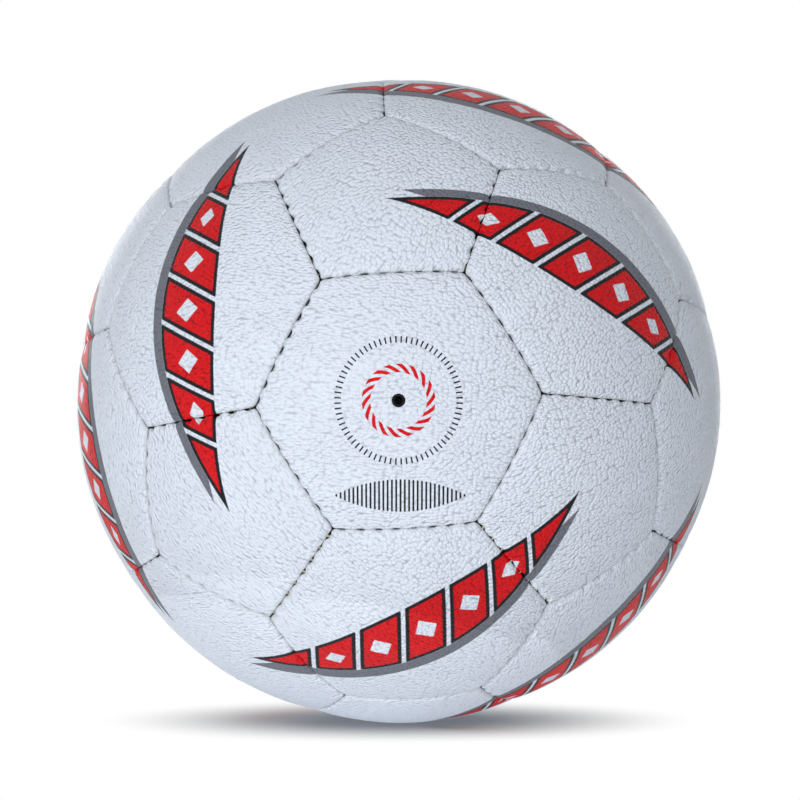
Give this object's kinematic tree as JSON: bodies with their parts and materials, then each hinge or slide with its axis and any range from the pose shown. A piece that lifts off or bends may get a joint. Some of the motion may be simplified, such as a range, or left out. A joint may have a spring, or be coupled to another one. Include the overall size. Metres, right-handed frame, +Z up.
{
  "type": "handball",
  "caption": "Hand-stitched handball: panelled synthetic-leather cover with rolled, sewn seams over a lined rubber bladder with a needle valve.",
  "frame": {"origin": "centre of the ball", "axes": "+Z up; -Y out through the valve, square to the middle of the valve's hexagon; +X to the right as the valve is faced"},
  "size_m": [0.187, 0.1878, 0.1874],
  "materials": {
    "cover_leather": "satin white synthetic leather with a pebbled grain and a red, black and grey print",
    "lining_cloth": "laminated woven polyester and cotton",
    "stitching_thread": "waxed polyester cord, pale cream",
    "bladder_rubber": "matt butyl rubber",
    "valve_rubber": "matt moulded rubber"
  },
  "bodies": {
    "root": {"valve_panel": "cover_leather", "hexagon_panel_1": "cover_leather", "hexagon_panel_2": "cover_leather", "hexagon_panel_3": "cover_leather", "hexagon_panel_4": "cover_leather", "hexagon_panel_5": "cover_leather", "hexagon_panel_6": "cover_leather", "hexagon_panel_7": "cover_leather", "hexagon_panel_8": "cover_leather", "hexagon_panel_9": "cover_leather", "hexagon_panel_10": "cover_leather", "hexagon_panel_11": "cover_leather", "hexagon_panel_12": "cover_leather", "hexagon_panel_13": "cover_leather", "hexagon_panel_14": "cover_leather", "hexagon_panel_15": "cover_leather", "hexagon_panel_16": "cover_leather", "hexagon_panel_17": "cover_leather", "hexagon_panel_18": "cover_leather", "hexagon_panel_19": "cover_leather", "pentagon_panel_1": "cover_leather", "pentagon_panel_2": "cover_leather", "pentagon_panel_3": "cover_leather", "pentagon_panel_4": "cover_leather", "pentagon_panel_5": "cover_leather", "pentagon_panel_6": "cover_leather", "pentagon_panel_7": "cover_leather", "pentagon_panel_8": "cover_leather", "pentagon_panel_9": "cover_leather", "pentagon_panel_10": "cover_leather", "pentagon_panel_11": "cover_leather", "pentagon_panel_12": "cover_leather", "valve_panel_lining": "lining_cloth", "hexagon_linings": "lining_cloth", "pentagon_linings": "lining_cloth", "hexagon_seam_stitches": "stitching_thread", "pentagon_seam_stitches": "stitching_thread", "bladder": "bladder_rubber", "valve_housing": "valve_rubber", "valve_core": "valve_rubber"}
  },
  "joints": []
}
